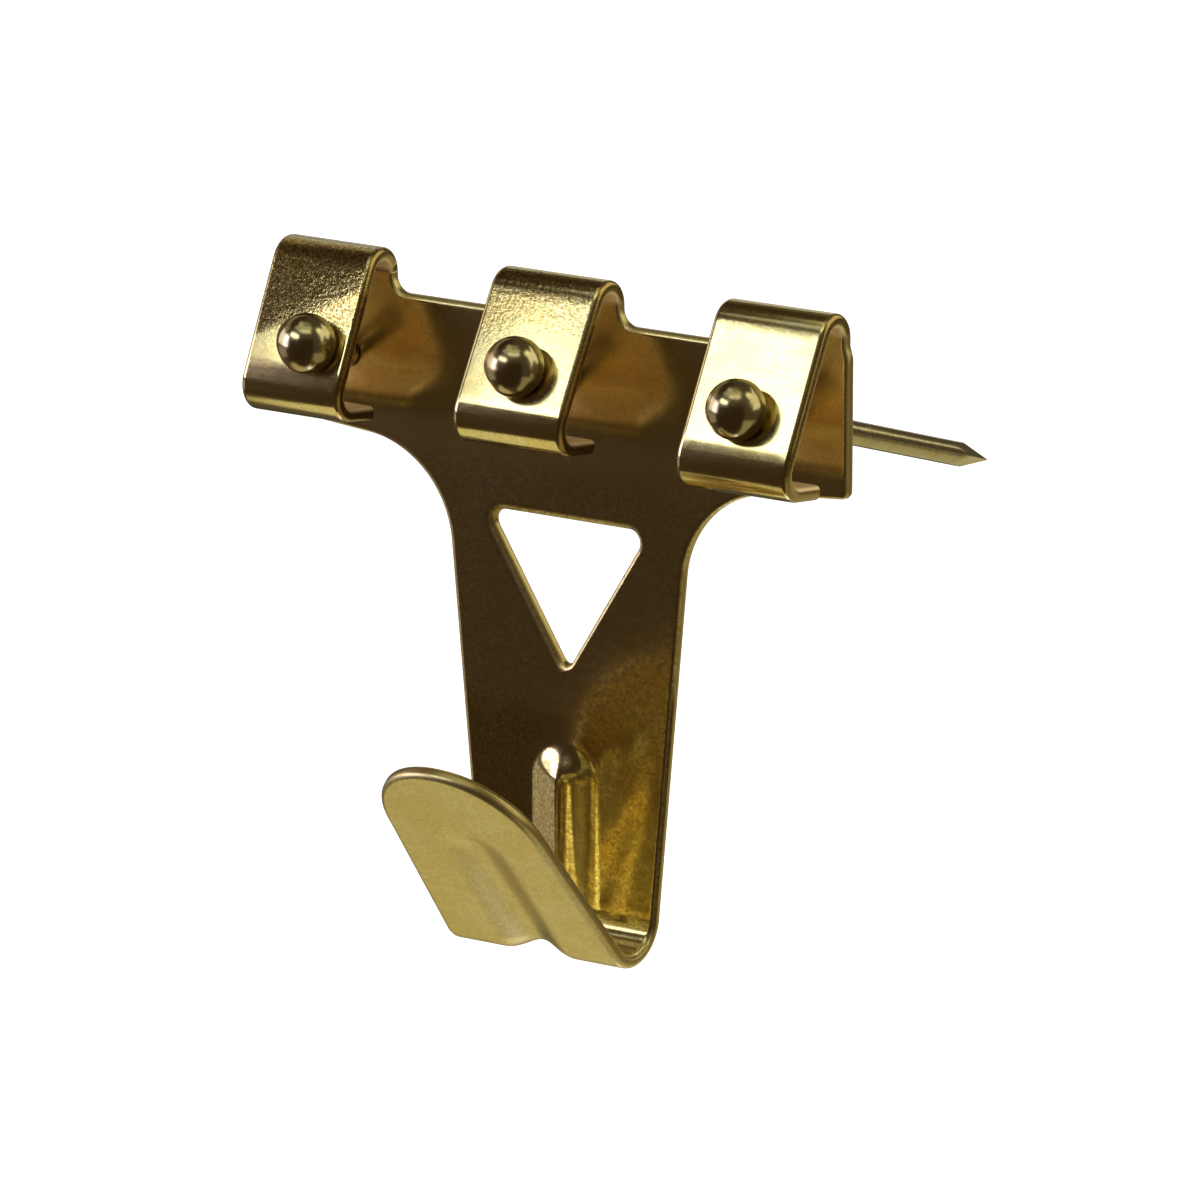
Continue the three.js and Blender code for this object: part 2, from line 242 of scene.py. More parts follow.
class Tab:
    """One tab: where its sides are, how it is folded, and its nail's line."""

    def __init__(self, plate, nail, numbers):
        side, lean, face_share, trim, slope, turn = numbers
        self.side = side
        self.lean = math.radians(lean)
        self.centre = side * plate.tab_pitch
        inner = plate.tab_width / 2 - plate.tab_width * trim
        outer = plate.bar_half - plate.shoulder_step
        self.left = -outer if side < 0 else self.centre - inner
        self.right = outer if side > 0 else self.centre + inner
        bend = plate.tab_bend
        runs = [
            (plate.neck_top, 0),
            (bend * (math.pi - self.lean), bend),
            (plate.tab_face * face_share, 0),
            (bend * (math.pi / 2 + self.lean - plate.lip_dip), bend),
            (plate.lip, 0),
        ]
        self.path = Path(math.pi / 2, 1, runs)
        starts = np.cumsum([0] + [run for run, _ in runs])
        self.face_start = starts[2]
        self.rows = merged_rows(
            np.linspace(starts[1], starts[2], BEND_ROWS),
            rows_between(starts[2], starts[3], FLAT_SPACING),
            np.linspace(starts[3], starts[4], BEND_ROWS),
            rows_between(starts[4], starts[5], FLAT_SPACING)[:-1],
        )
        self.out = outward(turn, slope)
        self.entry = Vector((self.centre, 0, nail.entry))
        self.normal = Vector((0, -math.cos(self.lean), math.sin(self.lean)))
        bend_middle = Vector((0, -bend, plate.neck_top))
        self.on_face = bend_middle + self.normal * bend
        square = self.normal.dot(self.out)
        crossing = self.normal.dot(self.on_face - self.entry) / square
        steepness = math.sqrt(1 - square * square) / square
        self.seat = crossing + nail.head_radius * steepness + nail.seat_gap

    def hole(self, radius, h, in_face):
        """The nail's hole where it cuts a face of the sheet, as points of the blank."""
        normal = self.normal if in_face else Vector((0, -1, 0))
        level = normal.dot(self.on_face) - h if in_face else h
        down = Vector((0, -math.sin(self.lean), -math.cos(self.lean)))
        across = self.out.orthogonal().normalized()
        other = self.out.cross(across)
        ring = []
        for i in range(HOLE_SIDES):
            a = 2 * math.pi * i / HOLE_SIDES
            start = self.entry + (across * math.cos(a) + other * math.sin(a)) * radius
            point = start + self.out * ((level - normal.dot(start)) / normal.dot(self.out))
            down_face = self.face_start + down.dot(point - self.on_face)
            ring.append((point.x, down_face if in_face else point.z))
        # The fold turns the face over, so its holes run the other way round in the blank.
        return np.array(ring if in_face else ring[::-1])


class Blank:
    """The flat blank: its outline, its window and its folds."""

    shoulder_rise = 0.9 * MM
    shoulder_step = 0.25 * MM
    corner = 0.55 * MM
    root = 1.2 * MM
    underarm_drop = 1.2 * MM
    window_corner = 0.9 * MM
    window_point = 0.55 * MM
    window_draw = 0.8 * MM
    window_sink = 0.55 * MM
    window_pull = (-0.95, 0.3)
    window_pull_start = 0.5
    window_pull_span = 0.7
    lip = 3.3 * MM
    lip_dip = math.radians(9)
    bend_half = 7.5 * MM
    shoulder_half = 6.65 * MM
    tip = 7.7 * MM
    fullness = 2.1
    rib_top = 21.7 * MM
    rib_flap = 15 * MM

    def __init__(self, sizes, nail):
        for name in sizes.__annotations__:
            setattr(self, name, getattr(sizes, name))
        self.neck_top = self.tab_height - self.tab_bend
        self.tabs = [Tab(self, nail, numbers) for numbers in STATIONS.values()]
        self.bend_start = self.hook_depth - self.hook_bend
        turn = math.pi - self.hook_lean
        self.bend_end = self.bend_start + self.hook_bend * turn
        self.end = self.bend_end + self.hook_flap
        self.tip_start = self.end - self.tip
        bend = (self.hook_bend * turn, self.hook_bend)
        self.hook = Path(-math.pi / 2, -1, [(self.bend_start, 0), bend, (self.hook_flap, 0)])
        rib_end = self.bend_end + self.rib_flap
        self.hook_rows = merged_rows(
            rows_between(self.rib_top - RIB_LEAD, self.bend_start, RIB_SPACING),
            np.linspace(self.bend_start, self.bend_end, HOOK_BEND_ROWS),
            rows_between(self.bend_end, rib_end + ROW_MARGIN, RIB_FLAP_SPACING),
            rows_between(rib_end + ROW_MARGIN, self.end, FLAT_SPACING)[:-1],
        )

    def half_width(self, depth):
        """Half width of the stem and hook at depths along the sheet."""
        ends = [self.underarm_drop, self.bend_start]
        stem = np.interp(depth, ends, [self.stem_top, self.stem_bottom])
        ends = [self.bend_start, self.bend_end, self.tip_start]
        bend = np.interp(depth, ends, [self.stem_bottom, self.bend_half, self.shoulder_half])
        past = np.clip((depth - self.tip_start) / self.tip, 0, 1)
        rounding = (1 - past**self.fullness) ** (1 / self.fullness)
        return np.where(depth <= self.bend_start, stem, bend * rounding)

    def rib_lift(self, depth, x):
        """How far the rib lifts the sheet into the hook, with round ends."""
        start = self.rib_top + self.rib_half
        end = self.bend_end + self.rib_flap - self.rib_half
        past = np.maximum(np.maximum(start - depth, depth - end), 0)
        away = np.minimum(np.hypot(past, x) / self.rib_half, 1)
        fading = np.clip((depth - self.bend_end) / self.rib_flap, 0, 1)
        return self.rib_depth * (1 - fading / 2) * (1 + np.cos(math.pi * away)) / 2

    def fold(self, points, h):
        """Points (x, s) of the blank, at h through the sheet, as places on the folded plate."""
        x, s = points[:, 0], points[:, 1]
        h = np.broadcast_to(h, x.shape)
        place = np.zeros((len(x), 3))
        place[:, 0] = x
        groups = [(s < 0, self.hook, -s, self.rib_lift(-s, x))]
        owner = np.argmin([abs(x - tab.centre) for tab in self.tabs], axis=0)
        for i, tab in enumerate(self.tabs):
            groups.append(((s >= 0) & (owner == i), tab.path, s, np.zeros(len(x))))
        for here, path, distance, lift in groups:
            at, into = path.at(distance[here])
            at = at + into * (h + lift)[here][:, None]
            place[here, 1] = -at[:, 0]
            place[here, 2] = at[:, 1]
        return place

    def outline(self):
        """The blank's outline, anticlockwise from the hook's tip."""
        turns = np.linspace(math.pi / 2, 0, TIP_POINTS)
        tip = [self.end - self.tip * (1 - math.sin(a)) for a in turns]
        below = [d for d in reversed(self.hook_rows) if d < self.tip_start]
        side = np.array(tip + below)
        side = np.stack([self.half_width(side), -side], 1)
        corners = [(x, s, 0) for x, s in side]
        corners.append((self.stem_top, -self.underarm_drop, self.underarm))
        corners += [(self.bar_half, 0, self.corner), (self.bar_half, self.bar_height, 0)]
        for tab in reversed(self.tabs):
            corners += self.tab_corners(tab)
        corners += [(-self.bar_half, self.bar_height, 0), (-self.bar_half, 0, self.corner)]
        corners.append((-self.stem_top, -self.underarm_drop, self.underarm))
        corners += [(-x, s, 0) for x, s in side[:0:-1]]
        return subdivided(rounded(corners), OUTLINE_SPACING)

    def tab_corners(self, tab):
        def foot(x, at_end):
            if at_end:
                return (x, self.bar_height + self.shoulder_rise, 0)
            return (x, self.bar_height, self.root)

        up = [(tab.right, s, 0) for s in tab.rows]
        down = [(tab.left, s, 0) for s in tab.rows[::-1]]
        end = tab.path.end
        lip = [(tab.right, end, self.corner), (tab.left, end, self.corner)]
        return [foot(tab.right, tab.side > 0), *up, *lip, *down, foot(tab.left, tab.side < 0)]

    def window(self):
        drop = self.window_drop
        corners = [
            (0, -drop - self.window_height, self.window_point),
            (self.window_half, -drop, self.window_corner),
            (-self.window_half, -drop, self.window_corner),
        ]
        return subdivided(rounded(corners), WINDOW_SPACING)

    def lattice(self):
        """Points inside the blank, in rows that the folds and the rib follow."""
        points = []
        for tab in self.tabs:
            across = rows_between(tab.left, tab.right, WIDE_SPACING)[1:-1]
            rows = np.concatenate([[self.neck_top - ROW_MARGIN], tab.rows])
            points += [(x, s) for s in rows for x in across]
        fine = np.linspace(-1, 1, RIB_COLUMNS) * self.rib_half
        beside = np.arange(*BESIDE_RIB, FLAT_SPACING)
        for depth in self.hook_rows:
            half = float(self.half_width(depth))
            near_rib = self.rib_top - ROW_MARGIN < depth < self.bend_end + self.rib_flap
            inner = fine if near_rib else fine[::3]
            points += [(x, -depth) for x in [*inner, *-beside, *beside] if abs(x) < half]
        bar_rows = rows_between(BAR_LEAD - self.rib_top, self.bar_height, WIDE_SPACING)
        bar_columns = rows_between(-self.bar_half, self.bar_half, WIDE_SPACING)
        points += [(x, s) for s in bar_rows for x in bar_columns]
        return np.array(points)


def rows_between(start, end, spacing):
    return np.linspace(start, end, max(2, math.ceil(abs(end - start) / spacing) + 1))


def merged_rows(*runs):
    """Rows of several runs in order, each row once."""
    return np.unique(np.round(np.concatenate(runs), 8))


def rounded(corners):
    """A closed polyline through corners (x, y, radius), each with a radius rounded by its arc."""
    points = []
    for i, (x, y, radius) in enumerate(corners):
        at = Vector((x, y))
        if not radius:
            points.append(at)
            continue
        back = (Vector(corners[i - 1][:2]) - at).normalized()
        on = (Vector(corners[(i + 1) % len(corners)][:2]) - at).normalized()
        half = back.angle(on) / 2
        middle = at + (back + on).normalized() * (radius / math.sin(half))
        start = at + back * (radius / math.tan(half)) - middle
        turn = back.angle_signed(on)
        sweep = math.copysign(math.pi - 2 * half, -turn)
        steps = max(LEAST_ARC_STEPS, math.ceil(radius * abs(sweep) / ARC_SPACING))
        for k in range(steps + 1):
            a = -sweep * k / steps
            c, s = math.cos(a), math.sin(a)
            points.append(middle + Vector((start.x * c - start.y * s, start.x * s + start.y * c)))
    return np.array([tuple(p) for p in points])


def subdivided(points, spacing):
    """The closed polyline with points added on its long stretches."""
    out = []
    for a, b in zip(points, np.roll(points, -1, axis=0)):
        steps = max(1, math.ceil(np.linalg.norm(b - a) / spacing))
        out += [a + (b - a) * k / steps for k in range(steps)]
    return np.array(out)


def into_sheet(loop):
    """Each corner's way into the sheet, left of its edges, and its edge's way alone."""
    edge = np.roll(loop, -1, axis=0) - loop
    edge /= np.linalg.norm(edge, axis=1)[:, None]
    normal = np.stack([-edge[:, 1], edge[:, 0]], 1)
    both = normal + np.roll(normal, 1, axis=0)
    return both / np.linalg.norm(both, axis=1)[:, None], normal


def inset(loop, distance):
    """A loop moved into the sheet by one distance, or one for each corner, mitred at its corners."""
    both, normal = into_sheet(loop)
    return loop + both * (distance / np.sum(both * normal, 1))[:, None]


def inside(points, loop):
    """Whether each point lies inside a closed loop."""
    a, b = loop, np.roll(loop, -1, axis=0)
    x, y = points[:, :1], points[:, 1:]
    crosses = (a[:, 1] > y) != (b[:, 1] > y)
    with np.errstate(divide="ignore", invalid="ignore"):
        at = a[:, 0] + (y - a[:, 1]) * (b[:, 0] - a[:, 0]) / (b[:, 1] - a[:, 1])
    return np.sum(crosses & (x < at), 1) % 2 == 1


def in_sheet(points, loops):
    """Whether each point lies inside the first loop and outside the others."""
    found = inside(points, loops[0])
    for loop in loops[1:]:
        found &= ~inside(points, loop)
    return found


def filled(loops, lattice):
    """Triangles that fill the first loop around the others: their points and corner numbers."""
    rim = np.concatenate(loops)
    lattice = lattice[in_sheet(lattice, loops)]
    clear = [np.min(np.sum((rim - p) ** 2, 1)) > RIM_CLEARANCE**2 for p in lattice]
    points = np.concatenate([rim, lattice[clear]]) / MM
    edges, first = [], 0
    for loop in loops:
        count = len(loop)
        edges += [(first + i, first + (i + 1) % count) for i in range(count)]
        first += count
    made = delaunay_2d_cdt([Vector(p) for p in points], edges, [], 0, SAME_POINT / MM)
    source = [origin[0] for origin in made[3]]
    triangles = np.array([[source[i] for i in face] for face in made[2]])
    keep = in_sheet(points[triangles].mean(1), [loop / MM for loop in loops])
    return points * MM, triangles[keep]


# Meshes


def new_object(name, data):
    made = bpy.data.objects.new(name, data)
    bpy.context.scene.collection.objects.link(made)
    return made


def mesh_object(name, points, faces, material):
    mesh = bpy.data.meshes.new(name)
    mesh.from_pydata([tuple(p) for p in points], [], [tuple(int(i) for i in f) for f in faces])
    mesh.validate()
    mesh.materials.append(material)
    return new_object(name, mesh)


def edge_rings(loop, sheet, roll, draw, sink):
    """Rings (points, height) round an edge, rolled at the wall side and drawn in at the front."""
    turns = [math.pi / 2 * k / ROLL_STEPS for k in range(ROLL_STEPS + 1)]
    wall = [(roll * (1 - math.sin(a)), roll * (1 - math.cos(a))) for a in turns]
    front = [(draw * (1 - math.sin(a)), sheet - sink * (1 - math.cos(a))) for a in turns[::-1]]
    profile = [(roll + FLAT_SUPPORT, 0), *wall, *front, (draw + FLAT_SUPPORT, sheet)]
    return [(inset(loop, d), h) for d, h in profile]


def folded_plate(blank, nail, material):
    """The plate: both faces of the blank filled, joined round every edge by a roll, and folded."""
    sheet, roll = blank.sheet, blank.edge_roll
    bevel = HOLE_BEVEL
    hole_profile = [(bevel, 0), (0, bevel), (0, sheet - bevel), (bevel, sheet)]

    window = blank.window()[::-1]
    # The punch drew the sheet in along the window's top and left side.
    drawn = into_sheet(window)[0] @ blank.window_pull + blank.window_pull_start
    drawn = np.clip(drawn / blank.window_pull_span, 0, 1)
    draw = roll + (blank.window_draw - roll) * drawn
    loops = [edge_rings(blank.outline(), sheet, roll, roll, roll)]
    loops.append(edge_rings(window, sheet, roll, draw, blank.window_sink))
    clear = nail.radius + nail.clearance
    for tab in blank.tabs:
        for in_face in (False, True):
            rings = [(tab.hole(clear + d, h, in_face), h) for d, h in hole_profile]
            loops.append(rings)

    points, heights, faces, first, rims = [], [], [], 0, {0: [], -1: []}
    for rings in loops:
        count = len(rings[0][0])
        for k, (ring, h) in enumerate(rings):
            points.append(ring)
            heights.append(np.full(count, h))
            if k:
                low, high = first - count, first
                for i in range(count):
                    j = (i + 1) % count
                    faces.append((low + i, low + j, high + j, high + i))
            if k == 0:
                rims[0].append((first, ring))
            if k == len(rings) - 1:
                rims[-1].append((first, ring))
            first += count

    lattice = blank.lattice()
    for rim, h, flipped in ((rims[0], 0, False), (rims[-1], sheet, True)):
        numbers = np.concatenate([np.arange(len(ring)) + start for start, ring in rim])
        made, triangles = filled([ring for _, ring in rim], lattice)
        extra = made[len(numbers) :]
        numbers = np.concatenate([numbers, np.arange(len(extra)) + first])
        points.append(extra)
        heights.append(np.full(len(extra), h))
        first += len(extra)
        triangles = numbers[triangles]
        faces += [tuple(t) for t in (triangles if flipped else triangles[:, ::-1])]

    flat, heights = np.concatenate(points), np.concatenate(heights)
    made = mesh_object("plate_sheet", blank.fold(flat, heights), faces, material)
    mesh = made.data
    for name, values in (("across", flat[:, 0]), ("along", flat[:, 1]), ("through", heights)):
        attribute = mesh.attributes.new(name, "FLOAT", "POINT")
        attribute.data.foreach_set("value", (values / MM).astype(np.float32))
    mesh.shade_smooth()
    # The punched edges of the nail holes stay crisp.
    mesh.set_sharp_from_angle(angle=SHEET_CREASE)
    return made


# Node trees


class Socket:
    """A node's output, or a plain number, that Python's arithmetic turns into Math nodes."""

    def __init__(self, nodes, source):
        self.nodes = nodes
        self.source = source

    def math(self, operation, *values):
        inputs = dict(enumerate([self, *values]))
        return self.nodes.add("ShaderNodeMath", inputs, operation=operation)[0]

    def __add__(self, other):
        return self.math("ADD", other)

    def __sub__(self, other):
        return self.math("SUBTRACT", other)

    def __mul__(self, other):
        return self.math("MULTIPLY", other)

    def __truediv__(self, other):
        return self.math("DIVIDE", other)

    def __rsub__(self, other):
        return Socket(self.nodes, other).math("SUBTRACT", self)

    def __rtruediv__(self, other):
        return Socket(self.nodes, other).math("DIVIDE", self)

    __radd__ = __add__
    __rmul__ = __mul__

    def power(self, other):
        return self.math("POWER", other)

    def least(self, other):
        return self.math("MINIMUM", other)

    def most(self, other):
        return self.math("MAXIMUM", other)

    def above(self, other):
        return self.math("GREATER_THAN", other)

    def clamped(self):
        return self.most(0).least(1)


class Nodes:
    """Adds nodes to one tree."""

    def __init__(self, tree):
        self.tree = tree

    def add(self, kind, values=None, **settings):
        """One node of a type: its settings come first, then its sockets' values or links."""
        node = self.tree.nodes.new(kind)
        for name, value in settings.items():
            setattr(node, name, value)
        for name, value in (values or {}).items():
            self.fill(node.inputs[name], value)
        return {
            key: Socket(self, output)
            for i, output in enumerate(node.outputs)
            for key in (i, output.name)
        }

    def fill(self, socket, value):
        """Sets a socket's value, or links it to a node's output."""
        value = value.source if isinstance(value, Socket) else value
        if isinstance(value, bpy.types.NodeSocket):
            self.tree.links.new(value, socket)
        else:
            socket.default_value = value

    def noise(self, where, scale, detail, roughness):
        values = {"Vector": where, "Scale": scale, "Detail": detail, "Roughness": roughness}
        return self.add("ShaderNodeTexNoise", values)[0]

    def step(self, value, low, high):
        """0 below low, 1 above high, smooth between."""
        values = {"Value": value, "From Min": low, "From Max": high}
        return self.add("ShaderNodeMapRange", values, interpolation_type="SMOOTHSTEP")[0]

    def mixed(self, factor, a, b):
        """Colours mixed by a factor, by the Mix node's sockets for colours."""
        return self.add("ShaderNodeMix", {0: factor, 6: a, 7: b}, data_type="RGBA")[2]


def rgba(value):
    return (*value, 1)


def new_material(name):
    material = bpy.data.materials.new(name)
    material.use_nodes = True
    material.node_tree.nodes.clear()
    return material, Nodes(material.node_tree)


# The sheet's noises: scale for each millimetre of the blank, detail and roughness.
GRAIN = (4.2, 3, 0.7)
SPECKS = (1.5, 4, 0.75)
CLOUDS = (0.2, 3, 0.6)
SHADE_MOTTLE_NOISE = (3.2, 3, 0.7)
RIPPLES = (1.3, 3, 0.6)
CREASES = (4.6, 2, 0.6)
WAVES = (0.34, 2, 0.5)
# Where a noise turns into patches: none below the first value, whole above the second. The dull
# patches come from the specks by this share, and from the grain by the rest.
PATCHES = (0.4, 0.6)
CLOUD_PATCHES = (0.35, 0.65)
SPECK_SHARE = 0.4
# How far the dull places turn to the dull colour, how much less the clean ones do, and how much less
# metallic the thin plating inside the tabs is.
TARNISHING = 0.75
CLEANING = 0.5
THIN_PLATING = 0.2
# What the grain and the masks add to the roughness, and how satin the rims are.
GRAIN_ROUGHNESS = 0.06
ADDED_ROUGHNESS = {"dull": 0.05, "front": 0.04, "formed": -0.07, "inner": 0.24}
SATIN_RIM = 0.8
SATIN_TAB_RIM = 0.4

# Where the sheet's masks fade: shares of its thickness, then millimetres along it.
SKIN = 0.1
MIDDLE = 0.4
HOOK_FADE = 3
TAB_FADE = 1
BEHIND_TABS = (-3, 1)
# The rib pulled on the sheet this many of its half widths above its top.
RIB_PULL = 2.5

# The rough part of a tab's face, buckled and mottled with painted shade: its end, and the start of its
# fading on the left tab, as shares of the face; then, in pitches, where it fades across the tabs, and by
# how much.
ROUGH_END = 0.75
LEFT_ROUGH_START = 0.4
ROUGH_TABS = (-0.6, 1.2)
ROUGH_FADE = 0.8

# Heights of the sheet's relief in millimetres.
GRAIN_HEIGHT = 0.0003
RIPPLE_HEIGHT = 0.0008
BUCKLE_HEIGHT = 0.012
WAVE_HEIGHT = 0.014
# How the sheet falls back: how steeply, from where and how softly. It does so to the sides of a
# tab, beside the rib from some millimetres across, and past shares of a tab's face.
CROWN_FALL = 0.003
RIB_SIDE = 2
RIB_SIDE_FALL = 0.024
RIB_SIDE_SOFTNESS = 1.5
FOOT_SHARE = 0.95
FOOT_FALL = 0.06
FOOT_SOFTNESS = 0.1
LEFT_FOOT_RISE = 0.06
LEFT_FOOT_EXTRA = 0.4
LEFT_TOP_SHARE = 0.45
LEFT_TOP_SLANT = 0.055
LEFT_TOP_FALL = 1.25
LEFT_TOP_SOFTNESS = 0.01


def softly(value, softness):
    """The value without its sign, rounded off around zero."""
    return (value * value + softness).power(0.5)


class SheetMap:
    """Masks from 0 to 1 over the sheet, on the blank's millimetres that its mesh carries."""

    def __init__(self, nodes, blank):
        self.across, self.along, through = (
            nodes.add("ShaderNodeAttribute", attribute_name=name)["Fac"]
            for name in ("across", "along", "through")
        )
        place = {"X": self.across, "Y": self.along}
        self.where = nodes.add("ShaderNodeCombineXYZ", place)[0]
        self.pitch = blank.tab_pitch / MM
        self.fold = blank.tabs[0].face_start / MM
        self.face = blank.tab_face / MM
        neck_top, hook = blank.neck_top / MM, blank.bend_start / MM
        rib_top, rib_half = blank.rib_top / MM, blank.rib_half / MM
        down = self.along * -1

        thick = blank.sheet / MM
        skin, middle = SKIN * thick, MIDDLE * thick
        self.front = nodes.step(through, thick - middle, thick - skin)
        self.wall = 1 - nodes.step(through, skin, middle)
        self.edge = 1 - self.front - self.wall
        self.rim = nodes.step(through, 0, skin) - nodes.step(through, thick - skin, thick)

        self.outside = nodes.step(down, hook, hook + HOOK_FADE)
        self.on_tab = nodes.step(self.along, neck_top, neck_top + TAB_FADE)
        self.inner = self.front * self.on_tab
        self.behind_tabs = self.front * nodes.step(self.along, *BEHIND_TABS)
        self.formed = self.front * nodes.step(down, rib_top - rib_half, rib_top)
        self.pulled = self.front * nodes.step(down, rib_top - RIB_PULL * rib_half, rib_top)

        # The faces of the tabs are rough by the fold, the left one furthest down: buckled there, and
        # mottled with painted shade.
        self.is_left = 1 - (self.across + self.pitch / 2).above(0)
        start = self.fold + self.is_left * (LEFT_ROUGH_START * self.face)
        near_fold = 1 - nodes.step(self.along, start, self.fold + ROUGH_END * self.face)
        first, last = (pitches * self.pitch for pitches in ROUGH_TABS)
        fading = 1 - nodes.step(self.across, first, last) * ROUGH_FADE
        self.rough = self.on_tab * near_fold * fading

        # Grain of the rolled sheet, and specks in the plating.
        self.grain = nodes.noise(self.where, *GRAIN)
        speck = nodes.noise(self.where, *SPECKS)
        specked = speck * SPECK_SHARE + self.grain * (1 - SPECK_SHARE)
        self.dull = nodes.step(specked, *PATCHES)
        # Mottled patches on the outer faces of the tabs by the fold, most on the left tab: partly plating
        # mottle, partly painted shade where those faces look darker.
        worn = nodes.step(nodes.noise(self.where, *SHADE_MOTTLE_NOISE), *PATCHES)
        self.worn = worn * self.rough * self.wall

    def colour(self, nodes, finish):
        """Brass in slow clouds, dull in specks, darker on its edges, and copper in the tabs; painted
        shade darkens the tabs' edges and, in mottled patches, their faces by the fold.
        """
        cloud = nodes.step(nodes.noise(self.where, *CLOUDS), *CLOUD_PATCHES)
        brass = nodes.mixed(cloud, rgba(finish.brass), rgba(finish.warm))
        clean = self.wall * (self.outside + self.on_tab) + self.behind_tabs
        dulled_and_shaded = self.dull.most(self.edge) * (TARNISHING - CLEANING * clean)
        # Painted shade: every edge of the tabs goes wholly to the dull colour, and the mottled patches
        # darken their faces by the fold.
        dulled_and_shaded = dulled_and_shaded.most(self.worn).most(self.rim * self.on_tab)
        plated = nodes.mixed(dulled_and_shaded, brass, rgba(finish.tarnish))
        return nodes.mixed(self.inner, plated, rgba(finish.copper))

    def roughness(self, finish):
        """Satin outside the hook and on the edges, smoothest by the rib, dull in the tabs."""
        rough = finish.polish + (self.grain - 0.5) * GRAIN_ROUGHNESS
        for mask, added in ADDED_ROUGHNESS.items():
            rough = rough + getattr(self, mask) * added
        satin_rim = SATIN_RIM - self.on_tab * (SATIN_RIM - SATIN_TAB_RIM)
        satin = (self.wall * self.outside).most(self.rim * satin_rim)
        return (rough + satin * (finish.satin - finish.polish)).clamped()

    def relief(self, nodes):
        """The sheet's relief in millimetres."""
        ripple = nodes.noise(self.where, *RIPPLES)
        relief = self.grain * GRAIN_HEIGHT + ripple * RIPPLE_HEIGHT
        relief = relief * (1 - self.inner) + nodes.noise(self.where, *WAVES) * WAVE_HEIGHT
        buckle = (ripple + nodes.noise(self.where, *CREASES)) * BUCKLE_HEIGHT
        relief = relief + buckle * self.rough * (1 + self.is_left)

        # The sheet falls away to the right of the rib.
        right = self.across - RIB_SIDE
        ramp = softly(right, RIB_SIDE_SOFTNESS) + right
        relief = relief - self.pulled * ramp * RIB_SIDE_FALL
        return relief - self.on_tab * self.tab_fall()

    def tab_fall(self):
        """How a tab's face falls back: to its sides, its foot and, on the left tab, its top."""
        side = self.across - (self.across / self.pitch).math("ROUND") * self.pitch
        down_face = self.along - self.fold
        low = down_face - (FOOT_SHARE - self.is_left * LEFT_FOOT_RISE) * self.face
        foot = (softly(low, FOOT_SOFTNESS) + low) * FOOT_FALL
        high = LEFT_TOP_SHARE - down_face / self.face - side * LEFT_TOP_SLANT
        top = softly(high.most(0), LEFT_TOP_SOFTNESS) * LEFT_TOP_FALL
        foot = foot * (1 + self.is_left * LEFT_FOOT_EXTRA)
        return side * side * CROWN_FALL + foot + top * self.is_left


def metal(nodes, relief, base, metallic, roughness):
    """Ends a material's tree as a metal with its relief in millimetres."""
    values = {"Strength": 1.0, "Distance": MM, "Height": relief}
    bump = nodes.add("ShaderNodeBump", values)[0]
    values = {"Base Color": base, "Metallic": metallic, "Roughness": roughness, "Normal": bump}
    shader = nodes.add("ShaderNodeBsdfPrincipled", values)[0]
    nodes.add("ShaderNodeOutputMaterial", {"Surface": shader})


def sheet_brass(finish, blank):
    """Bright brass plate, patterned on the flat blank."""
    material, nodes = new_material("brass_sheet")
    sheet = SheetMap(nodes, blank)
    base, metallic = sheet.colour(nodes, finish), 1 - sheet.inner * THIN_PLATING
    metal(nodes, sheet.relief(nodes), base, metallic, sheet.roughness(finish))
    return material


# The nails' noises: scale for each metre, detail and roughness; then their relief in millimetres.
NAIL_CLOUDS = (420, 3, 0.6)
NAIL_GRAIN = (4200, 2, 0.6)
NAIL_GRAIN_HEIGHT = 0.004
NAIL_CLOUD_HEIGHT = 0.03
# Where their clouds turn into dull patches, and how much those and the grain change the plating.
NAIL_PATCHES = (0.45, 0.7)
NAIL_TARNISHING = 0.5
NAIL_GRAIN_ROUGHNESS = 0.08
NAIL_DULL_ROUGHNESS = 0.2


def nail_brass(finish):
    """Smoother and a little greyer plating, clouded on the object's own coordinates in metres."""
    material, nodes = new_material("brass_nail")
    where = nodes.add("ShaderNodeTexCoord")["Object"]
    cloud = nodes.noise(where, *NAIL_CLOUDS)
    grain = nodes.noise(where, *NAIL_GRAIN)
    dull = nodes.step(cloud, *NAIL_PATCHES) * NAIL_TARNISHING
    plated = nodes.mixed(dull, rgba(finish.nail_brass), rgba(finish.tarnish))
    rough = finish.nail_polish + (grain - 0.5) * NAIL_GRAIN_ROUGHNESS + dull * NAIL_DULL_ROUGHNESS
    relief = grain * NAIL_GRAIN_HEIGHT + cloud * NAIL_CLOUD_HEIGHT
    metal(nodes, relief, plated, 1, rough.clamped())
    return material


# The nail's tree: a grid rolled up around the nail's axis, which lies along Z with the head up.

NAIL_ROWS = 96
NAIL_SIDES = 48
NAIL_WELD = 0.001 * MM
ROW_TOLERANCE = 1e-5
# The share of the rows that makes the head, and the share of those that makes its crown. Of the
# rest, the first come straight down and the next round in, and the last meet the shank.
HEAD_ROWS = 0.4
CROWN_ROWS = 0.7
DROP_ROWS = 0.35
CURL_ROWS = 0.3
NAIL_INPUTS = {
    "Length": "length",
    "Radius": "radius",
    "Head Radius": "head_radius",
    "Head Height": "head_height",
    "Head Relief": "head_relief",
    "Point": "point",
}


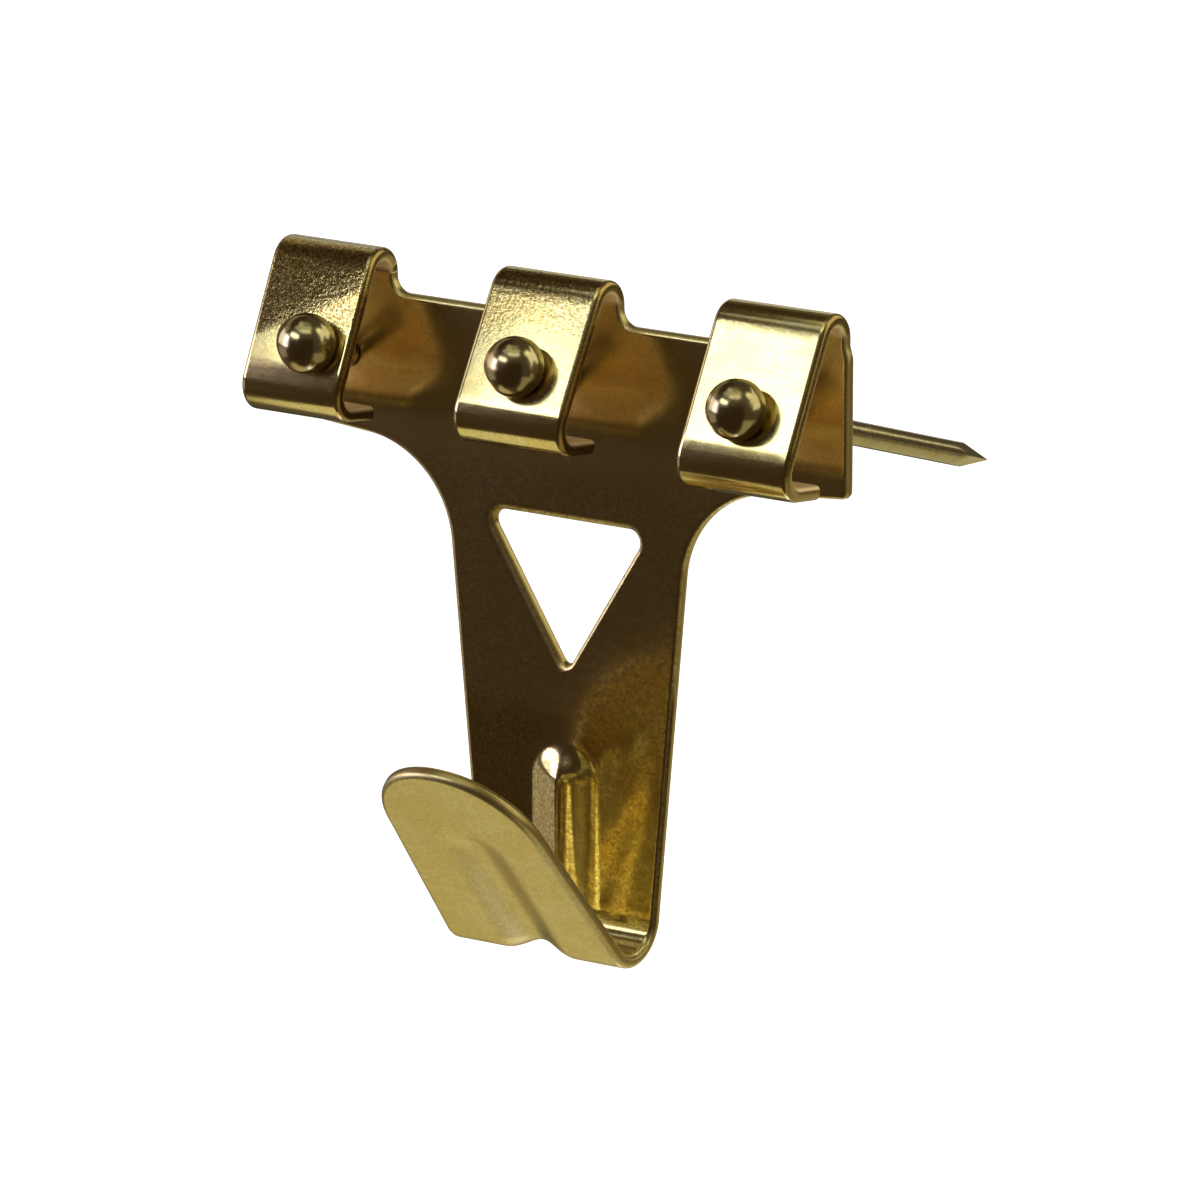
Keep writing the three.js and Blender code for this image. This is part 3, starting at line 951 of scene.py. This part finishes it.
def nail_tree(material):
    tree = bpy.data.node_groups.new("Domed Nail", "GeometryNodeTree")
    tree.interface.new_socket("Geometry", in_out="OUTPUT", socket_type="NodeSocketGeometry")
    for name in NAIL_INPUTS:
        tree.interface.new_socket(name, in_out="INPUT", socket_type="NodeSocketFloat")
    for name in ("Turn", "Place"):
        tree.interface.new_socket(name, in_out="INPUT", socket_type="NodeSocketVector")
    nodes = Nodes(tree)
    given = nodes.add("NodeGroupInput")

    counts = {"Vertices X": NAIL_ROWS, "Vertices Y": NAIL_SIDES + 1}
    grid = nodes.add("GeometryNodeMeshGrid", {"Size X": 1.0, "Size Y": 1.0, **counts})
    at = nodes.add("ShaderNodeSeparateXYZ", {0: nodes.add("GeometryNodeInputPosition")[0]})
    along, around = at["X"] + 0.5, (at["Y"] + 0.5) * (2 * math.pi)

    head = (along / HEAD_ROWS).clamped()
    tail = ((along - HEAD_ROWS) / (1 - HEAD_ROWS)).clamped()
    on_head = 1 - along.above(HEAD_ROWS + ROW_TOLERANCE)
    over = (head / CROWN_ROWS).clamped()
    under = ((head - CROWN_ROWS) / (1 - CROWN_ROWS)).clamped()
    crown = over * (math.pi / 2)
    middle = given["Head Height"] - given["Head Radius"]
    dome_r = given["Head Radius"] * crown.math("SINE")
    dome_z = middle + given["Head Radius"] * crown.math("COSINE")
    down = (under / DROP_ROWS).clamped()
    curl = ((under - DROP_ROWS) / CURL_ROWS).clamped() * (math.pi / 2)
    flat_start = DROP_ROWS + CURL_ROWS
    flat = ((under - flat_start) / (1 - flat_start)).clamped()
    relief = given["Head Relief"]
    rim_r = dome_r - relief * (1 - curl.math("COSINE"))
    head_r = rim_r - (given["Head Radius"] - relief - given["Radius"]) * flat
    head_z = dome_z - (middle - relief) * down - relief * curl.math("SINE")

    # The rows of the shank gather at the point.
    body = 1 - (1 - tail).power(2)
    tail_z = body * given["Length"] * -1
    z = head_z * on_head + tail_z * (1 - on_head)
    round_r = head_r * on_head + given["Radius"] * (1 - on_head)
    # A long square pyramid trims the end of the shank to its point.
    quarter = math.pi / 2
    facet = (around / quarter).math("FRACT") * quarter - quarter / 2
    left = (z + given["Length"]) * given["Radius"] / given["Point"]
    radius = round_r.least(left / facet.math("COSINE")).most(0)

    place = {0: radius * around.math("COSINE"), 1: radius * around.math("SINE"), 2: z}
    corner = nodes.add("ShaderNodeCombineXYZ", place)[0]
    made = grid["Mesh"]
    for kind, values in (
        ("SetPosition", {"Position": corner}),
        ("MergeByDistance", {"Distance": NAIL_WELD}),
        ("Transform", {"Translation": given["Place"], "Rotation": given["Turn"]}),
        ("RealizeInstances", {}),
        ("SetMaterial", {"Material": material}),
    ):
        made = nodes.add("GeometryNode" + kind, {"Geometry": made, **values})[0]
    nodes.add("NodeGroupOutput", {"Geometry": made})
    return tree


def nail_object(name, tree, values):
    """The tree's result as a plain mesh."""
    maker = new_object(name + "_maker", bpy.data.meshes.new(name + "_maker"))
    modifier = maker.modifiers.new("nail", "NODES")
    modifier.node_group = tree
    for item in tree.interface.items_tree:
        if item.in_out == "INPUT" and item.name in values:
            modifier[item.identifier] = values[item.name]
    graph = bpy.context.evaluated_depsgraph_get()
    mesh = bpy.data.meshes.new_from_object(maker.evaluated_get(graph), depsgraph=graph)
    maker.modifiers.remove(modifier)
    bpy.data.objects.remove(maker)
    mesh.name = name
    facing_out(mesh)
    mesh.shade_smooth()
    mesh.set_sharp_from_angle(angle=NAIL_CREASE)
    return new_object(name, mesh)


def facing_out(mesh):
    """Turns every face out if the closed mesh is inside out."""
    mesh.calc_loop_triangles()
    corners = np.array([v.co for v in mesh.vertices])
    t = np.array([tri.vertices for tri in mesh.loop_triangles])
    a, b, c = corners[t[:, 0]], corners[t[:, 1]], corners[t[:, 2]]
    if np.sum(a * np.cross(b, c)) < 0:
        mesh.flip_normals()


# Operators


class HANGER_OT_plate(bpy.types.Operator):
    """Fold the plate from its blank, with its tabs, window, hook and rib"""

    bl_idname = "hanger.plate"
    bl_label = "Fold Plate"

    def execute(self, context):
        scene = context.scene
        blank = Blank(scene.hanger_plate, scene.hanger_nail)
        material = sheet_brass(scene.hanger_finish, blank)
        plate = folded_plate(blank, scene.hanger_nail, material)
        facing_out(plate.data)
        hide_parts("hanger_plate")
        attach(plate, "plate")
        return {"FINISHED"}


class HANGER_OT_nails(bpy.types.Operator):
    """Make the three domed nails, each seated on its tab"""

    bl_idname = "hanger.nails"
    bl_label = "Make Nails"

    def execute(self, context):
        scene = context.scene
        sizes = scene.hanger_nail
        blank = Blank(scene.hanger_plate, sizes)
        tree = nail_tree(nail_brass(scene.hanger_finish))
        bodies = {n: body for body, ns in frame["record"]["behaviour"]["bodies"].items() for n in ns}
        for node, tab in zip(STATIONS, blank.tabs):
            values = {name: getattr(sizes, prop) for name, prop in NAIL_INPUTS.items()}
            turn = Vector((0, 0, 1)).rotation_difference(tab.out).to_euler()
            values["Turn"] = tuple(turn)
            values["Place"] = tuple(tab.entry + tab.out * tab.seat)
            made = nail_object("domed_" + node, tree, values)
            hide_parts(node)
            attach(made, bodies[node])
        return {"FINISHED"}


def seen_white(nodes):
    """1 for the rays that should find a white background: the camera's and the mirrors'."""
    path = nodes.add("ShaderNodeLightPath")
    seen = path["Is Camera Ray"] + path["Is Glossy Ray"] + path["Is Transmission Ray"]
    return seen.clamped()


def glow_material(name, value, strength):
    material, nodes = new_material(name)
    values = {"Color": rgba(value), "Strength": strength}
    shader = nodes.add("ShaderNodeEmission", values)[0]
    nodes.add("ShaderNodeOutputMaterial", {"Surface": shader})
    return material


FLOOR_HALF = 5.0
FLOOR_ROUGHNESS = 0.9
FLOOR_GLOW = 0.8
WORLD_GLOW = 0.5
CARD_STEP = 6
SENSOR_WIDTH = 36
CLIP_START = 0.01
# Where the camera points: this far right of the origin and this far below it.
AIM_RIGHT = 1.99 * MM
AIM_DOWN = 10.82 * MM


def card(name, azimuths, elevations, distance, material):
    """A curved card around the hanger that only mirrors see."""
    columns = rows_between(*azimuths, CARD_STEP)
    rows = rows_between(*elevations, CARD_STEP)
    points = [outward(a, e) * distance for e in rows for a in columns]
    n = len(columns)
    faces = [
        (r * n + c, r * n + c + 1, (r + 1) * n + c + 1, (r + 1) * n + c)
        for r in range(len(rows) - 1)
        for c in range(n - 1)
    ]
    made = mesh_object(name, points, faces, material)
    made.visible_camera = False
    made.visible_diffuse = False
    made.visible_shadow = False
    made.visible_transmission = False


def lamp(name, azimuth, elevation, distance, size, power):
    data = bpy.data.lights.new(name, "AREA")
    data.size = size
    data.energy = power
    made = new_object(name, data)
    direction = outward(azimuth, elevation)
    made.location = direction * distance
    made.rotation_euler = direction.to_track_quat("Z", "Y").to_euler()
    made.visible_glossy = False


# Lamps: name, azimuth and elevation in degrees, distance, size and power.
LAMPS = (("key", -40, 38, 0.6, 0.4, 7), ("fill", 50, 30, 0.8, 0.5, 4))
# Cards: name, azimuths and elevations in degrees, distance, colour and strength. The stage's own
# dark colour stands where there is none.
CARDS = (
    ("dark_room", (-180, 180), (-89, 89), 0.5, (0.09, 0.072, 0.044), 1),
    ("dark_front", (-66, 60), (-89, 28.5), 0.45, None, 1),
    ("dark_top", (-142, -46), (41.5, 68), 0.45, None, 1),
    ("dark_step", (-62, -43.5), (26, 41.5), 0.44, None, 1),
    ("left_wall", (-136, -70), (26, 38), 0.14, (1, 0.84, 0.5), 0.34),
    ("table_left", (-150, -47), (-88, -51), 0.3, (1, 0.893, 0.465), 0.66),
    ("table_right", (60, 150), (-85, -25), 0.3, (1, 0.893, 0.465), 0.4),
    ("soft_box", (-43.5, -5), (28.5, 41.5), 0.42, (0.97, 1, 0.95), 3.2),
    ("window_pane", (-64, -43.5), (-5, 25), 0.42, (0.88, 0.78, 1), 3.8),
    ("window_side", (-95, -64), (-5, 24), 0.42, (1, 0.92, 0.95), 1.5),
    ("window_foot", (-92, -50), (-32, -11), 0.42, (1, 0.88, 0.75), 0.4),
    ("low_ceiling", (-62, -12), (54, 66), 0.4, (0.96, 1, 0.9), 0.5),
    ("ceiling_lamp", (-12, 62), (53, 66), 0.4, (1, 1, 0.75), 1.2),
    ("ceiling_ring", (-104, 90), (66, 80), 0.4, (1, 1, 0.6), 0.6),
    ("zenith", (-180, 180), (80, 90), 0.4, (1, 0.96, 0.6), 0.3),
    ("back_ceiling", (96, 126), (44, 57), 0.4, (1, 1, 0.6), 1.7),
    ("right_box", (96, 165), (4, 44), 0.45, (1, 0.96, 0.66), 1.2),
    ("back_low", (150, 200), (-62, -14), 0.45, (1, 0.92, 0.5), 0.54),
    ("back_left_box", (196, 226), (-20, 28), 0.44, (1, 0.96, 0.8), 0.5),
)


class HANGER_OT_stage(bpy.types.Operator):
    """Set the pale floor, the cards and lamps, and the camera at the photograph's angle"""

    bl_idname = "hanger.stage"
    bl_label = "Set Stage"

    def execute(self, context):
        stage = context.scene.hanger_stage
        self.make_floor(stage)
        self.make_world(context.scene)
        self.make_cards(stage)
        for numbers in LAMPS:
            lamp(*numbers)
        self.make_camera(context.scene, stage)
        context.scene.view_settings.view_transform = "Standard"
        return {"FINISHED"}

    def make_floor(self, stage):
        material, nodes = new_material("pale_floor")
        seen = seen_white(nodes)
        values = {"Base Color": rgba(stage.floor), "Roughness": FLOOR_ROUGHNESS}
        paint = nodes.add("ShaderNodeBsdfPrincipled", values)[0]
        glow = nodes.add("ShaderNodeEmission", {"Strength": seen * FLOOR_GLOW})[0]
        both = nodes.add("ShaderNodeAddShader", {0: paint, 1: glow})[0]
        nodes.add("ShaderNodeOutputMaterial", {"Surface": both})
        half, z = FLOOR_HALF, -stage.floor_drop
        corners = [(-half, -half, z), (half, -half, z), (half, half, z), (-half, half, z)]
        mesh_object("floor", corners, [(0, 1, 2, 3)], material)

    def make_world(self, scene):
        world = bpy.data.worlds.new("studio")
        world.use_nodes = True
        world.node_tree.nodes.clear()
        nodes = Nodes(world.node_tree)
        seen = seen_white(nodes)
        strength = WORLD_GLOW + seen * (1 - WORLD_GLOW)
        white = rgba((1, 1, 1))
        glow = nodes.add("ShaderNodeBackground", {"Color": white, "Strength": strength})[0]
        nodes.add("ShaderNodeOutputWorld", {"Surface": glow})
        scene.world = world

    def make_cards(self, stage):
        for name, azimuths, elevations, distance, value, strength in CARDS:
            value = stage.dark if value is None else value
            card(name, azimuths, elevations, distance, glow_material(name, value, strength))

    def make_camera(self, scene, stage):
        data = bpy.data.cameras.new("camera")
        data.lens = stage.focal_length
        data.sensor_width = SENSOR_WIDTH
        data.clip_start = CLIP_START
        made = new_object("camera", data)
        azimuth, elevation = stage.camera_azimuth, stage.camera_elevation
        out = outward(math.degrees(azimuth), math.degrees(elevation))
        right = Vector((math.cos(azimuth), math.sin(azimuth), 0))
        up = out.cross(right)
        made.location = out * stage.camera_distance
        aim = right * AIM_RIGHT - up * AIM_DOWN
        made.rotation_euler = (made.location - aim).to_track_quat("Z", "Y").to_euler()
        scene.camera = made


class HANGER_PT_panel(bpy.types.Panel):
    """Sizes, finish and stage of the picture hanger"""

    bl_idname = "HANGER_PT_panel"
    bl_label = "Picture Hanger"
    bl_space_type = "VIEW_3D"
    bl_region_type = "UI"
    bl_category = "Hanger"

    def draw(self, context):
        layout = self.layout
        for title, group, operator in (
            ("Plate", "hanger_plate", "hanger.plate"),
            ("Nails", "hanger_nail", "hanger.nails"),
            ("Finish", "hanger_finish", None),
            ("Stage", "hanger_stage", "hanger.stage"),
        ):
            box = layout.box()
            box.label(text=title)
            settings = getattr(context.scene, group)
            for name in settings.__annotations__:
                box.prop(settings, name)
            if operator:
                box.operator(operator)


GROUPS = {
    "hanger_plate": HangerPlateSizes,
    "hanger_nail": HangerNailSizes,
    "hanger_finish": HangerFinish,
    "hanger_stage": HangerStage,
}
OPERATORS = (HANGER_OT_plate, HANGER_OT_nails, HANGER_OT_stage)
CLASSES = (*GROUPS.values(), *OPERATORS, HANGER_PT_panel)


def register():
    for cls in CLASSES:
        bpy.utils.register_class(cls)
    for name, group in GROUPS.items():
        setattr(bpy.types.Scene, name, PointerProperty(type=group))


def unregister():
    for name in GROUPS:
        delattr(bpy.types.Scene, name)
    for cls in reversed(CLASSES):
        bpy.utils.unregister_class(cls)


def main():
    register()
    bpy.ops.hanger.plate()
    bpy.ops.hanger.nails()
    bpy.ops.hanger.stage()


if __name__ == "__main__":
    main()
